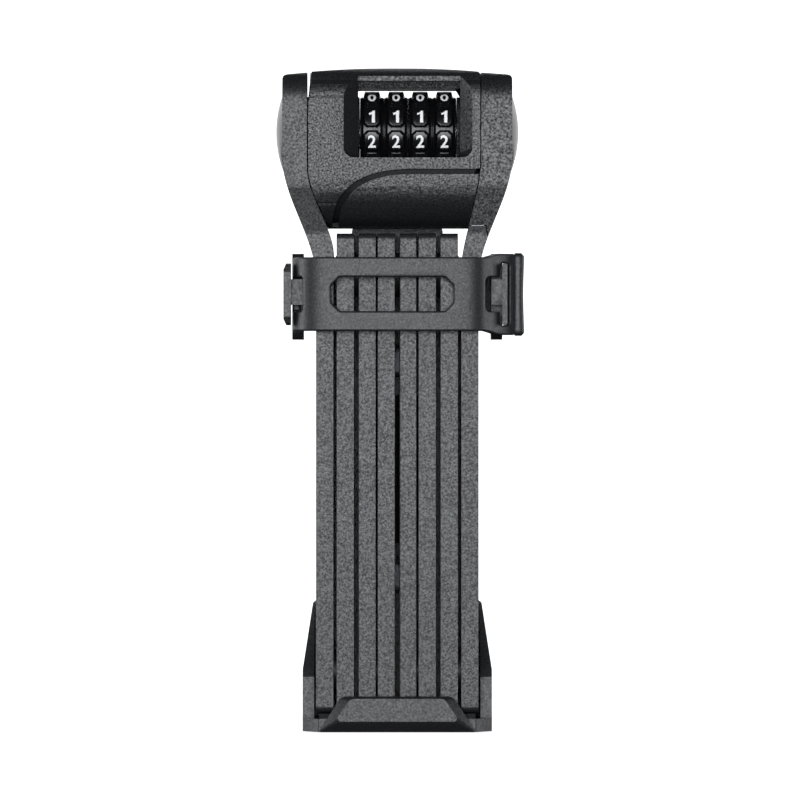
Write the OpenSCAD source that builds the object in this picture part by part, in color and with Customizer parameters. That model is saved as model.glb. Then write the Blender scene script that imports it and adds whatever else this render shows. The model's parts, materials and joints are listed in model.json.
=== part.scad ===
// Folding bicycle lock in its frame bracket, folded, millimetres.
// Eight riveted steel links fold side by side below a combination lock head. The first link carries
// the head, and the last one ends in a cap beside it that the bolt locks.
// The bracket holds the stack in a cup, and a rubber strap closes round it.

/* [Links] */
// Distance between the two pins of a link
pin_pitch = 117; // [100:1:130]
// Width of a link, front to back
link_w = 24; // [22:0.5:26]
// Thickness of a jacketed link
link_t = 5.15; // [5:0.05:5.3]
// Plastic jacket round the steel of a link
jacket_t = 0.75; // [0.6:0.05:0.9]
// Washer between the outermost two links on each side
washer_outer = 0.9; // [0.7:0.1:1.1]
// Washer at the top pins
washer_top = 1.3; // [1.1:0.1:1.5]
// Washer at the inner bottom pins
washer_bottom = 0.45; // [0.4:0.05:0.6]

/* [Lock head] */
// Depth of the head, front to back
head_d = 32; // [30:0.5:34]
// Height of the head
head_h = 47.1; // [46:0.1:48]
// Wall of the head's plastic shells
shell_t = 1.8; // [1.5:0.1:2]
// Spacing of the number wheels
wheel_pitch = 7.1; // [7:0.1:7.2]
// Radius of a number wheel over its number pads
wheel_r = 12; // [11.5:0.1:12]

/* [Bracket] */
// Outer width of the cup at the bottom
cup_w = 55.8; // [55:0.1:57]
// Height of the front lip
lip_h = 10.5; // [9:0.1:10.5]
// Spacing of the two frame screws
screw_pitch = 64; // [64:1:64]
// Radius of the frame screw holes
screw_hole_r = 2.7; // [2.6:0.05:2.8]
// Height of the rubber strap
strap_h = 21.7; // [20:0.1:24]
// Thickness of the rubber strap
strap_t = 2.4; // [2:0.1:2.6]

/* [Hidden] */
$fn = 48;
too_far = 200;
slip = 0.05;

// Stack of links. x runs across the stack, y from front to back, z up from the bracket's underside.
link_count = 8;
link_corner = 2;
link_bottom = 5.6;
pin_low = link_bottom + link_w / 2;
pin_high = pin_low + pin_pitch;
washers = [
    washer_outer, washer_top, washer_bottom, washer_top, washer_bottom, washer_top, washer_outer
];
stack_w = link_count * link_t + sum_to(washers, len(washers));
core_t = link_t - 2 * jacket_t;
pin_r = 3.5;
rivet_head_r = 5.6;
washer_r = 6.5;

// Lock head
head_bottom = 148.2;
head_top = head_bottom + head_h;
head_crown = 1.1;
axis_z = 176.6;
seam = 0.35;
// Step at mid depth where the head's rear half is wider and the arms beside it are hollowed
rebate = 0.3;
// The head's left side draws away from the arm above this height, by this much at the top
wedge_z = 184;
wedge = 1;
head_top_r = 9;
head_bottom_r = 14;
cheek_x = 33.8;
cheek_top = 194.1;
cheek_d = 30;
dome_r = 14.7;
dome_h = 1.9;
screw_spread = 9;
screw_room = 2.6;

// Where each arm leaves the straight link and where it reaches the cheek, seen from the front
outer_bend = [133, 169];
left_bend = [140.2, 165.8];
right_bend = [134, 169];
left_cheek_in = 26.5;
right_cheek_in = 24.7;
cap_z = 149;
skirt = [26.2, 27, 144.9];
cap_seam = 0.25;

// Window of the number wheels
wheels_x = 3.2;
window = [-11.6, 18.5];
window_z = [168.8, 191.4];
recess = [-15.9, 22.2];
recess_depth = 2.8;
recess_wall = 1.2;
bridge_y = 11.3;
cavity_z = [163, 189.2];
cavity = [-12.3, 19.2];

// Number wheels, code rings and bolt
wheel_w = wheel_pitch - 0.15;
pad_w = 5;
shoulder_r = 10.4;
digit_count = 10;
first_digit_angle = 57.5;
ring_r = 8;
ring_w = 4.4;
sleeve_r = 4;
sleeve_bore = 2.5;
spindle_r = 2.3;
fin_r = 5.3;
fin_t = 1.3;
fin_w = 1.5;
collar_gap = 0.1;
nose_r = 3;

// Bracket
spine_y = [12.9, 17.6];
spine_w = 38;
spine_top = 142;
neck_w = 27;
neck_top = 149.6;
cup_floor = 3.9;
wing_z = [115.5, 140.8];
wing_x = [27.7, 31];
strap_z = 128.7;
lip_gap = 1.5;
lip_t = 3.4;
mount_y = spine_y[1];
mount_z = 77;

// ---------- helpers ----------

function sum_to(list, n) = n <= 0 ? 0 : list[n - 1] + sum_to(list, n - 1);
function smooth(t) = let (u = min(1, max(0, t))) u * u * (3 - 2 * u);
function ease(z, bend, low, high) = low + (high - low) * smooth((z - bend[0]) / (bend[1] - bend[0]));
function unit(v) = v / norm(v);

// A corner b between a and c, rounded to radius r
function corner(a, b, c, r, n) =
    r <= 0 ? [b] :
    let (
        u = unit(a - b),
        v = unit(c - b),
        half = acos(u * v) / 2,
        centre = b + unit(u + v) * r / sin(half),
        p = b + u * r / tan(half),
        q = b + v * r / tan(half),
        start = atan2(p.y - centre.y, p.x - centre.x),
        end = atan2(q.y - centre.y, q.x - centre.x),
        sweep = (end - start + 540) % 360 - 180
    )
    [for (i = [0:n]) centre + r * [cos(start + sweep * i / n), sin(start + sweep * i / n)]];

function rounded(points, radii, n = 8) =
    let (count = len(points))
    [for (i = [0:count - 1])
        each corner(points[(i + count - 1) % count], points[i], points[(i + 1) % count], radii[i], n)];

function rectangle(x, z) = [[x[0], z[0]], [x[1], z[0]], [x[1], z[1]], [x[0], z[1]]];

function chamfered(x, z, cut) = [
    [x[0], z[0] + cut], [x[0] + cut, z[0]], [x[1] - cut, z[0]], [x[1], z[0] + cut],
    [x[1], z[1] - cut], [x[1] - cut, z[1]], [x[0] + cut, z[1]], [x[0], z[1] - cut]
];

// A front-view outline (x, z) extruded between two y values
module front_prism(points, y = [-too_far, too_far]) {
    translate([0, y[1], 0]) rotate([90, 0, 0]) linear_extrude(y[1] - y[0]) polygon(points);
}

// A side-view outline (y, z) extruded between two x values
module side_prism(points, x = [-too_far, too_far]) {
    translate([x[0], 0, 0]) rotate([90, 0, 90]) linear_extrude(x[1] - x[0]) polygon(points);
}

// A plan-view outline (x, y) extruded between two z values
module plan_prism(points, z) {
    translate([0, 0, z[0]]) linear_extrude(z[1] - z[0]) polygon(points);
}

module block(x, y, z) {
    translate([x[0], y[0], z[0]]) cube([x[1] - x[0], y[1] - y[0], z[1] - z[0]]);
}

// A cylinder along x
module rod(r, x, y = 0, z = 0) {
    translate([x[0], y, z]) rotate([0, 90, 0]) cylinder(r = r, h = x[1] - x[0]);
}

// The links' own frame moved so that the origin is between the frame screws, on the bracket's back
module at_mount() {
    translate([0, -mount_y, -mount_z]) children();
}

// ---------- links ----------

function link_x(i) = -stack_w / 2 + (i - 1) * link_t + sum_to(washers, i - 1);
function pin_z(i) = i % 2 == 1 ? pin_low : pin_high;

// Front-view edges of the two arms, as distances from the middle plane
function arm_out(z) = ease(z, outer_bend, stack_w / 2, cheek_x);
function left_in(z) = ease(z, left_bend, stack_w / 2 - link_t, left_cheek_in);
function right_in(z) = ease(z, right_bend, stack_w / 2 - link_t, right_cheek_in);
function arm_in(side, z) = side < 0 ? left_in(z) : right_in(z);

bend_heights = [for (i = [0:18]) 132 + 38 * i / 18];
relief_heights = [for (i = [0:12]) head_bottom - 0.5 + 22 * i / 12];

// Front-view outline of an arm, whose top slopes down to a rounded outer corner
function arm_outline(side) =
    let (
        inner = arm_in(side, cheek_top),
        top = corner([inner, cheek_top], [cheek_x, cheek_top - 0.8], [cheek_x, axis_z], 1.4, 6)
    )
    concat(
        [[side * arm_in(side, 0), 0]],
        [for (z = bend_heights) [side * arm_in(side, z), z]],
        [[side * inner, cheek_top]],
        [for (p = top) [side * p.x, p.y]],
        [for (i = [18:-1:0]) let (z = bend_heights[i]) [side * arm_out(z), z]],
        [[side * arm_out(0), 0]]
    );

// Front-view outline of the hollow in an arm's inner face beside the head's rear half
function relief_outline(side) = concat(
    [for (z = concat(relief_heights, [too_far])) [side * (arm_in(side, z) - 1), z]],
    [for (i = [len(relief_heights):-1:0]) let (z = concat(relief_heights, [too_far])[i])
        [side * (arm_in(side, z) + rebate), z]]
);

// Front-view outline of an arm's steel, which follows the inner edge at an even thickness
function steel_outline(side) = concat(
    [for (z = concat([0], bend_heights, [200])) [side * (arm_in(side, z) + jacket_t), z]],
    [for (i = [20:-1:0]) let (z = concat([0], bend_heights, [200])[i])
        [side * (arm_in(side, z) + jacket_t + core_t), z]]
);

// Side view of an arm: a link's foot that widens to the round cheek
function arm_side(inset) = let (half = link_w / 2 - inset, cheek = cheek_d / 2 - inset)
    rounded(
        [
            [-half, link_bottom + inset], [half, link_bottom + inset],
            [half, pin_high + 12], [cheek, pin_high + 26],
            [cheek, cheek_top - inset], [-cheek, cheek_top - inset],
            [-cheek, pin_high + 26], [-half, pin_high + 12]
        ],
        [
            max(0.8, link_corner - inset), max(0.8, link_corner - inset),
            8, 8, 8.5 - inset, 8.5 - inset, 8, 8
        ], 12
    );

// A link's lower corner at the back is round, to clear the spine as the link swings out
module link_plate(i, inset) {
    foot = max(0.8, link_corner - inset);
    x = [link_x(i) + inset, link_x(i) + link_t - inset];
    side_prism(
        rounded(
            rectangle([inset - link_w / 2, link_w / 2 - inset],
                [link_bottom + inset, pin_high + link_w / 2 - inset]),
            [foot, link_w / 2 - inset - 0.01, foot, foot], 12
        ), x
    );
}

module arm_plate(side, inset) {
    difference() {
        intersection() {
            front_prism(inset == 0 ? arm_outline(side) : steel_outline(side));
            side_prism(arm_side(inset));
        }
        if (inset == 0) front_prism(relief_outline(side), [0, too_far]);
    }
}

module plate(i, inset) {
    if (i == 1) arm_plate(-1, inset);
    else if (i == link_count) arm_plate(1, inset);
    else link_plate(i, inset);
}

// Pins through link i: pin i - 1 joins it to the link before, pin i to the one after
module link_pins(i, r) {
    for (k = [max(1, i - 1):min(link_count - 1, i)])
        rod(r, [link_x(i) - 1, link_x(i) + link_t + 1], 0, pin_z(k));
}

// The rivet heads lie in round openings of the jacket on the far side of each pin
module head_pockets(i) {
    if (i < link_count) rod(rivet_head_r + slip, [link_x(i) - 1, link_x(i) + jacket_t], 0, pin_z(i));
    if (i > 1)
        rod(rivet_head_r + slip,
            [link_x(i) + link_t - jacket_t, link_x(i) + link_t + 1], 0, pin_z(i - 1));
}

module link_core(i) {
    color("silver") difference() {
        plate(i, jacket_t);
        link_pins(i, pin_r + slip);
        if (i == link_count) rod(nose_r + 0.3, [20, 40], 0, axis_z);
        if (i == 1) arm_screw_places() rod(1.6, [-40, -20]);
        if (i == link_count) arm_screw_places() rod(1.6, [20, 40]);
    }
}

module link_jacket(i) {
    color("dimgray") difference() {
        plate(i, 0);
        plate(i, jacket_t);
        link_pins(i, pin_r + slip);
        head_pockets(i);
        if (i == link_count) front_prism(cap_region(cap_seam));
        if (i == 1) arm_cavity(-1);
        if (i == 1) arm_screw_places() rod(1.6, [-40, -20]);
    }
}

module rivet(i) {
    from = link_x(i);
    to = link_x(i + 1) + link_t;
    color("lightgray") translate([0, 0, pin_z(i)]) {
        rod(pin_r, [from, to]);
        rod(rivet_head_r, [from, from + jacket_t - slip]);
        rod(rivet_head_r, [to - jacket_t + slip, to]);
    }
}

module washer(i) {
    from = link_x(i) + link_t;
    color("goldenrod") difference() {
        rod(washer_r, [from + slip, from + washers[i - 1] - slip], 0, pin_z(i));
        rod(pin_r + slip, [from - 1, from + 3], 0, pin_z(i));
    }
}

// ---------- arms beside the head ----------

module arm_screw_places() {
    for (s = [-1, 1]) translate([0, 0, axis_z + s * screw_spread]) children();
}

// Round room behind a dome for the screw heads
module arm_cavity(side) {
    reach = steel_face(side);
    rod(dome_r - 2, side < 0 ? [-cheek_x - 1, -reach] : [reach, cheek_x + 1], 0, axis_z);
}

function steel_face(side) = (side < 0 ? left_cheek_in : right_cheek_in) + jacket_t + core_t;

// Two countersunk screws with their heads on the steel, pointing into the head or the cap
module cheek_screws(side, length) {
    face = steel_face(side);
    color("gray") arm_screw_places() {
        if (side < 0) {
            rod(1.5, [-face - 0.5, -face + length]);
            difference() {
                rod(2.8, [-face - 1.8, -face]);
                rod(1.1, [-face - 2.8, -face - 0.8]);
            }
        } else {
            rod(1.5, [face - length, face + 0.5]);
            difference() {
                rod(2.8, [face, face + 1.8]);
                rod(1.1, [face + 0.8, face + 2.8]);
            }
        }
    }
}

// Section of a dome (r out, h up) from the plug's face over the cheek to the crown
function dome_section(plug_h) =
    let (
        sphere_r = (dome_r * dome_r + dome_h * dome_h) / (2 * dome_h),
        spread = asin(dome_r / sphere_r)
    )
    concat(
        [[0, -plug_h], [dome_r - 2 - slip, -plug_h], [dome_r - 2 - slip, 0]],
        [for (i = [0:8]) let (a = spread * (1 - i / 8)) [
            sphere_r * sin(a), dome_h - sphere_r * (1 - cos(a))
        ]]
    );

module dome(side) {
    plug_h = cheek_x - steel_face(side) - screw_room;
    color("dimgray") translate([side * (cheek_x + slip), 0, axis_z]) rotate([0, side * 90, 0])
        rotate_extrude($fn = 80) polygon(dome_section(plug_h));
}

// Front-view region of the end cap, whose outer side reaches lower, and the region below it
function cap_region(gap) = [
    [0, cap_z - gap], [skirt.x - gap, cap_z - gap], [skirt.y - gap, skirt.z - gap],
    [60, skirt.z - gap], [60, 220], [0, 220]
];
below_cap = [[0, -10], [0, cap_z], [skirt.x, cap_z], [skirt.y, skirt.z], [60, skirt.z], [60, -10]];

module end_cap() {
    color("dimgray") difference() {
        plate(link_count, 0);
        plate(link_count, jacket_t);
        front_prism(below_cap);
        arm_cavity(1);
        rod(nose_r + 0.3, [20, 40], 0, axis_z);
        arm_screw_places() rod(1.6, [20, 40]);
    }
}

// ---------- lock head ----------

function wedge_at(z) = wedge * sin(90 * min(1, max(0, (z - wedge_z) / (head_top - wedge_z))));

// Front-view outline of the head between the two arms, less a margin at the sides
function head_outline(inset, margin) =
    let (
        low = head_bottom + inset,
        high = head_top - inset,
        heights = [for (i = [0:16]) low + (168 - low) * i / 16],
        wedge_heights = [for (i = [0:6]) wedge_z + (high - head_crown - wedge_z) * i / 6],
        wide = [-(left_cheek_in - margin - inset - wedge), right_cheek_in - margin - inset],
        top = [for (i = [1:11]) let (u = 1 - i / 6) [
            (wide[1] + wide[0]) / 2 + u * (wide[1] - wide[0]) / 2, high - head_crown * u * u
        ]]
    )
    concat(
        [for (z = heights) [right_in(z) - margin - inset, z]],
        [[wide[1], high - head_crown - 0.6], [wide[1] - 0.5, high - head_crown]],
        top,
        [for (i = [6:-1:0]) let (z = wedge_heights[i]) [-(left_in(z) - margin - inset - wedge_at(z)), z]],
        [for (i = [16:-1:0]) let (z = heights[i]) [-(left_in(z) - margin - inset), z]]
    );

function head_side(inset) = let (half = head_d / 2 - inset)
    rounded(
        rectangle([-half, half], [head_bottom + inset, head_top - inset]),
        [head_bottom_r - inset, head_bottom_r - inset, head_top_r - inset, head_top_r - inset], 10
    );

module head_solid(inset) {
    intersection() {
        union() {
            front_prism(head_outline(inset, seam), [-too_far, rebate]);
            front_prism(head_outline(inset, seam - rebate), [rebate, too_far]);
        }
        side_prism(head_side(inset));
    }
}

// The funnel that the window lies in, open at the top, on the front, side 1, or the back, side -1
module window_funnel(side, grow) {
    top = head_top + 2;
    face = head_d / 2;
    mouth = [recess[0] - grow, recess[1] + grow];
    throat = [window[0] - grow, window[1] + grow];
    mirror([0, side < 0 ? 1 : 0, 0]) hull() {
        front_prism(rounded(rectangle(mouth, [window_z[0] - grow, top]), [3, 3, 1, 1], 5),
            [-face - 0.2, -face - 0.1]);
        front_prism(rounded(rectangle(throat, [window_z[0] + 0.5 - grow, top]), [1, 1, 0.5, 0.5], 5),
            [recess_depth - face - 0.1, recess_depth - face + grow / 2]);
    }
}

// Front-view region under a rounded shoulder that starts at x and rises to z
function shoulder_outline(x, z) =
    let (low = head_bottom - 2, reach = 6 - x, rise = z - low, n = 2.6)
    concat(
        [for (i = [0:20]) let (u = cos(90 * i / 20)) [
            6 - reach * u, low + rise * pow(max(0, 1 - pow(u, n)), 1 / n)
        ]],
        [[30, z], [30, low]]
    );

module skin(depth) {
    difference() {
        head_solid(0);
        head_solid(depth);
    }
}

module head_shell(side) {
    half = side > 0 ? [-too_far, -slip / 2] : [slip / 2, too_far];
    color("dimgray") difference() {
        union() {
            intersection() {
                skin(shell_t);
                block([-40, 40], half, [140, 200]);
            }
            intersection() {
                head_solid(0);
                window_funnel(side, recess_wall);
            }
        }
        window_funnel(side, 0);
        block(window, half, window_z);
        rod(nose_r + 0.4, [15, 30], 0, axis_z);
        arm_screw_places() rod(1.7, [-30, -15]);
        if (side > 0) intersection() {
            skin(1.2);
            front_prism(shoulder_outline(-19.3, 165.5), [-too_far, -5]);
        }
        if (side < 0) head_screw_places() rotate([90, 0, 0]) cylinder(r = 1.5, h = 10, center = true);
        if (side < 0) head_screw_places() translate([0, 0.6, 0]) rotate([-90, 0, 0])
            cylinder(r = 2.4, h = 5);
    }
}

module badge_panel() {
    color("dimgray") intersection() {
        skin(1.15);
        front_prism(shoulder_outline(-17.4, 163.9), [-too_far, -5.5]);
    }
}

// Three screws hold the rear shell; the y of each place is the seat of its head
module head_screw_places() {
    for (place = [[-19.5, 164], [-19.5, 182], [20, 162]])
        translate([place.x, head_d / 2 - 1.4, place.y]) children();
}

module head_screws() {
    color("gray") head_screw_places() {
        rotate([90, 0, 0]) cylinder(r = 1.2, h = 6);
        difference() {
            translate([0, 0.6, 0]) rotate([-90, 0, 0]) cylinder(r = 2.2, h = 0.7);
            translate([0, 0.9, 0]) rotate([-90, 0, 0]) cylinder(r = 0.9, h = 1, $fn = 6);
        }
        rotate([-90, 0, 0]) cylinder(r = 1.2, h = 0.65);
    }
}

module head_core() {
    stack = [wheel_x(1) - wheel_pitch / 2 - collar_gap, wheel_x(4) + wheel_pitch / 2 + collar_gap];
    color("slategray") difference() {
        head_solid(shell_t);
        difference() {
            block(cavity, [-too_far, too_far], cavity_z);
            // ribbed collars beside the outer wheels
            rod(shoulder_r, [cavity[0] - 1, stack[0]], 0, axis_z);
            rod(shoulder_r, [stack[1], cavity[1] + 1], 0, axis_z);
        }
        // room for the shells' funnels, and in front of and behind the bridge over the wheels
        for (side = [-1, 1]) window_funnel(side, recess_wall + slip);
        for (s = [0, 1]) mirror([0, s, 0]) block(cavity, [-20, -bridge_y], [cavity_z[1] - 1, head_top + 2]);
        rod(sleeve_r, [cavity[0] - 1, cavity[1] + 1.2], 0, axis_z);
        // way for the spindle's fins through the collars
        block([cavity[0] - 1, cavity[1] + 1.2], [-fin_w / 2 - 0.2, fin_w / 2 + 0.2],
            [axis_z - fin_r - 0.3, axis_z]);
        rod(nose_r + 0.1, [cavity[1], 30], 0, axis_z);
        rod(3.7, [-23.2, cavity[0]], 0, axis_z);
        arm_screw_places() rod(1.5, [-30, -17.5]);
        head_screw_places() rotate([90, 0, 0]) cylinder(r = 1.2, h = 8);
        head_screw_places() rotate([-90, 0, 0]) cylinder(r = 1.6, h = 3);
    }
}

// ---------- number wheels and bolt ----------

function wheel_x(i) = wheels_x + (i - 2.5) * wheel_pitch;

// Half of a wheel's section (x across, r out) has the pad band and one ridged shoulder
wheel_section = [
    [-wheel_w / 2, ring_r + 0.02], [wheel_w / 2, ring_r + 0.02],
    [wheel_w / 2, shoulder_r - 0.5], [wheel_w / 2 - 0.25, shoulder_r],
    [wheel_w / 2 - 0.65, shoulder_r], [pad_w / 2 + 0.1, shoulder_r - 0.6],
    [pad_w / 2, wheel_r - 0.6], [pad_w / 2 - 0.5, wheel_r],
    [0.5 - pad_w / 2, wheel_r], [-pad_w / 2, wheel_r - 0.6],
    [-pad_w / 2 - 0.1, shoulder_r - 0.6], [0.65 - wheel_w / 2, shoulder_r],
    [0.25 - wheel_w / 2, shoulder_r], [-wheel_w / 2, shoulder_r - 0.5]
];

// Turns what is built along z to lie along x, at the wheels' axis
module on_axis(x) {
    translate([x, 0, axis_z]) rotate([0, 90, 0]) children();
}

module number_wheel(i) {
    notch_r = 1.1;
    color("black") on_axis(wheel_x(i)) difference() {
        rotate_extrude($fn = 80) polygon([for (p = wheel_section) [p.y, p.x]]);
        for (k = [0:digit_count - 1])
            rotate([0, 0, 270 - first_digit_angle + 36 * (k + 0.5)])
                translate([wheel_r + 0.35, 0, 0]) cylinder(r = notch_r, h = pad_w + 0.1, center = true);
    }
}

module code_ring(i) {
    color("goldenrod") on_axis(wheel_x(i)) difference() {
        cylinder(r = ring_r, h = ring_w, center = true);
        cylinder(r = sleeve_r + slip, h = 20, center = true);
        translate([0, -fin_w / 2 - 0.2, -10]) cube([fin_r + 0.3, fin_w + 0.4, 20]);
    }
}

module dial_sleeve() {
    slot = [cavity[0] + 0.4, cavity[1] - 0.3];
    color("silver") difference() {
        rod(sleeve_r - 0.01, [cavity[0] - 0.9, cavity[1] + 1.1], 0, axis_z);
        rod(sleeve_bore, [-30, 30], 0, axis_z);
        block(slot, [-fin_w / 2 - 0.2, fin_w / 2 + 0.2], [axis_z - fin_r, axis_z]);
    }
}

module bolt_spindle() {
    color("silver") {
        rod(spindle_r, [-22.6, 22], 0, axis_z);
        rod(nose_r, [cavity[1] + 1.4, right_cheek_in - seam - 0.1], 0, axis_z);
        rod(3.4, [-22.6, -21.3], 0, axis_z);
        for (i = [1:4]) {
            x = wheel_x(i) - wheel_pitch / 2;
            block([x - fin_t / 2, x + fin_t / 2], [-fin_w / 2, fin_w / 2], [axis_z - fin_r, axis_z - 1]);
        }
    }
}

// Round wire wound as a helix along x, swept as one closed tube
module bolt_spring() {
    wire = 0.3;
    coil_r = 2.95;
    turns = 6;
    sides = 6;
    steps = turns * 14;
    x = [-20.95, -13.6];
    points = [for (i = [0:steps], k = [0:sides - 1])
        let (
            a = 360 * turns * i / steps,
            b = 360 * k / sides,
            r = coil_r + wire * cos(b)
        )
        [x[0] + (x[1] - x[0]) * i / steps + wire * sin(b), r * cos(a), axis_z + r * sin(a)]];
    sides_faces = [for (i = [0:steps - 1], k = [0:sides - 1]) [
        i * sides + k, (i + 1) * sides + k,
        (i + 1) * sides + (k + 1) % sides, i * sides + (k + 1) % sides
    ]];
    color("silver") polyhedron(points, concat(
        [[for (k = [0:sides - 1]) k]],
        sides_faces,
        [[for (k = [sides - 1:-1:0]) steps * sides + k]]
    ), convexity = 8);
}

// A comb of four spring fingers below the wheels
module detent_spring() {
    low = cavity_z[0];
    color("lightgray") {
        block([cavity[0] + 0.6, cavity[1] - 0.6], [5, 9], [low + 0.1, low + 0.5]);
        for (i = [1:4]) block([wheel_x(i) - 1.4, wheel_x(i) + 1.4], [-4, 5.5], [low + 0.1, low + 0.5]);
    }
}

// ---------- bracket ----------

module frame_screw_places() {
    for (s = [-1, 1]) translate([0, 0, mount_z + s * screw_pitch / 2]) children();
}

module cup() {
    half = cup_w / 2;
    inner = stack_w / 2 + 0.6;
    front = -link_w / 2 - lip_gap;
    // floor, narrower in front where the lip stands
    plan_prism(
        rounded(
            [[-half, -6], [-23.2, front], [23.2, front], [half, -6], [half, spine_y[1]],
                [-half, spine_y[1]]],
            [1, 0.5, 0.5, 1, 0.5, 0.5], 4
        ), [0, cup_floor]
    );
    // back, as wide as the walls
    front_prism([
        [-half, 0.5], [half, 0.5], [half, 18.2], [inner + 0.5, 37.5], [spine_w / 2, 42],
        [-spine_w / 2, 42], [-inner - 0.5, 37.5], [-half, 18.2]
    ], spine_y);
    // side walls lean in above the cup
    for (s = [0, 1]) mirror([s, 0, 0]) intersection() {
        front_prism([
            [inner, 0.5], [half, 0.5], [half, 18.2], [inner + 0.5, 37.5], [inner, 37.5]
        ]);
        side_prism([
            [-6, 0], [spine_y[1], 0], [spine_y[1], 60], [11, 60], [8, 36], [-3, 20], [-6, 16]
        ]);
    }
    // front lip, whose face is smaller than its back
    hull() {
        front_prism(rounded(
            [[-23.2, 0], [23.2, 0], [16.4, lip_h], [-16.4, lip_h]], [0.4, 0.4, 3, 3], 6
        ), [front - 0.9, front]);
        front_prism(rounded(
            [[-18.4, 3.2], [18.4, 3.2], [13.8, lip_h - 0.6], [-13.8, lip_h - 0.6]], [1, 1, 2, 2], 6
        ), [front - lip_t, front - lip_t + 0.2]);
    }
}

// One side's post with its T-shaped strap hook. side 1 is right, where the hook faces the front.
module strap_post(side) {
    stem_z = [strap_z - 3.1, strap_z + 4.4];
    head_z = [strap_z - 9.1, strap_z + 9.1];
    mirror([side < 0 ? 1 : 0, 0, 0]) {
        side_prism(rounded(
            [[-3.4, wing_z[0]], [spine_y[1], wing_z[0]], [spine_y[1], wing_z[1]], [-3.4, wing_z[1]]],
            [3, 2, 2, 3], 6
        ), wing_x);
        if (side < 0) {
            block([wing_x[0] - 2.4, wing_x[0] - 0.6], [-9.8, 3], stem_z);
            block([wing_x[0] - 1, wing_x[0] + 0.5], [0, 3], stem_z);
            block([wing_x[0] - 1, 32.4], [-9.4, -6.8], stem_z);
            intersection() {
                side_prism(rounded(rectangle([-12, -4.4], head_z), [2.5, 2.5, 2.5, 2.5], 2), [31.3, 33.5]);
                front_prism([
                    [31.3, head_z[0]], [32.7, head_z[0]], [33.5, head_z[0] + 1.8],
                    [33.5, head_z[1] - 1.8], [32.7, head_z[1]], [31.3, head_z[1]]
                ]);
            }
        } else {
            block([wing_x[0], wing_x[0] + 2.6], [-10.2, -3], stem_z);
            block([wing_x[0], 31.5], [-10.2, -7.8], stem_z);
            front_prism(rounded(rectangle([30.9, 32.4], head_z), [0.5, 0.5, 0.5, 0.5], 2), [-10.6, -7.4]);
        }
    }
}

module holder_body() {
    color("dimgray") difference() {
        union() {
            front_prism(rounded(
                rectangle([-spine_w / 2, spine_w / 2], [0.5, spine_top]), [0, 0, 4, 4], 4
            ), spine_y);
            front_prism(rounded(
                rectangle([-neck_w / 2, neck_w / 2], [spine_top - 5, neck_top]), [0, 0, 2, 2], 4
            ), spine_y);
            front_prism(rounded(
                rectangle([-wing_x[1], wing_x[1]], [wing_z[0] + 3, wing_z[1] - 2]), [3, 3, 3, 3], 6
            ), [spine_y[0] + 0.6, spine_y[1]]);
            cup();
            for (s = [-1, 1]) strap_post(s);
        }
        frame_screw_places() rotate([90, 0, 0]) cylinder(r = screw_hole_r, h = too_far, center = true);
        // screw heads sink into the spine's front face
        frame_screw_places() translate([0, spine_y[0] + 2.2, 0]) rotate([90, 0, 0])
            cylinder(r = 5.2, h = 20);
        block([-9, 9], [spine_y[0] - 1, spine_y[0] + 1.2], [mount_z - 22, mount_z + 22]);
    }
}

module cup_pad() {
    color("black") block([-23, 23], [-11.5, 11.5], [cup_floor, link_bottom - 0.3]);
}

module spine_pad() {
    color("black") block([-8.9, 8.9], [link_w / 2 + 0.25, spine_y[0] + 1.2], [mount_z - 21.9, mount_z + 21.9]);
}

// Plan-view line of the strap's outer face, from the left hook round the front to the right grip
strap_front = -17.2;
strap_line = [
    [-30.9, -4.2], [-30.3, -9], [-28.6, -13.4], [-24.6, -16.3], [-18, strap_front],
    [18, strap_front], [23.6, -16.4], [27, -13.6], [29.4, -10.4], [32.6, -7.6], [35, -6.2]
];

function normal_at(line, i) =
    let (a = line[max(0, i - 1)], b = line[min(len(line) - 1, i + 1)], d = unit(b - a)) [-d.y, d.x];

module strap() {
    band = concat(strap_line, [for (i = [len(strap_line) - 1:-1:0])
        strap_line[i] + strap_t * normal_at(strap_line, i)]);
    z = [strap_z - strap_h / 2, strap_z + strap_h / 2];
    color("dimgray") difference() {
        union() {
            plan_prism(band, z);
            translate([35.4, -5.4, z[0] - 1.2]) cylinder(r = 2, h = strap_h + 2.4);
        }
        // window over the links
        front_prism(chamfered([-19.4, 16.5], [strap_z - 4.95, strap_z + 4.95], 2.5), [-25, -12]);
        // slot for the left hook, and the right hook's T-shaped opening
        block([-40, -26], [-12.8, -5.8], [strap_z - 5, strap_z + 5]);
        front_prism(rectangle([26, 31], [strap_z - 5, strap_z + 5]), [-20, -3]);
        front_prism(rectangle([30.5, 33.1], [strap_z - 9.5, strap_z + 9.5]), [-20, -3]);
    }
}

// ---------- nodes ----------

at_mount() {
    holder_body();
    cup_pad();
    spine_pad();
    strap();
    head_core();
    head_shell(1);  // head_front_shell
    head_shell(-1);  // head_rear_shell
    badge_panel();
    head_screws();
    dial_sleeve();
    detent_spring();
    bolt_spindle();
    bolt_spring();
    cheek_screws(-1, 9);  // arm_screws
    dome(-1);  // left_dome
    for (i = [1:4]) {
        number_wheel(i);
        code_ring(i);
    }
    for (i = [1:link_count]) {
        link_core(i);
        link_jacket(i);
    }
    for (i = [1:link_count - 1]) {
        rivet(i);
        washer(i);
    }
    end_cap();
    cheek_screws(1, 4);  // cap_screws
    dome(1);  // right_dome
}
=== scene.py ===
"""A folding bike lock in its bracket: the looks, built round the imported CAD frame."""
import json
import math

import bmesh
import bpy
from mathutils import Matrix, Vector


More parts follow.
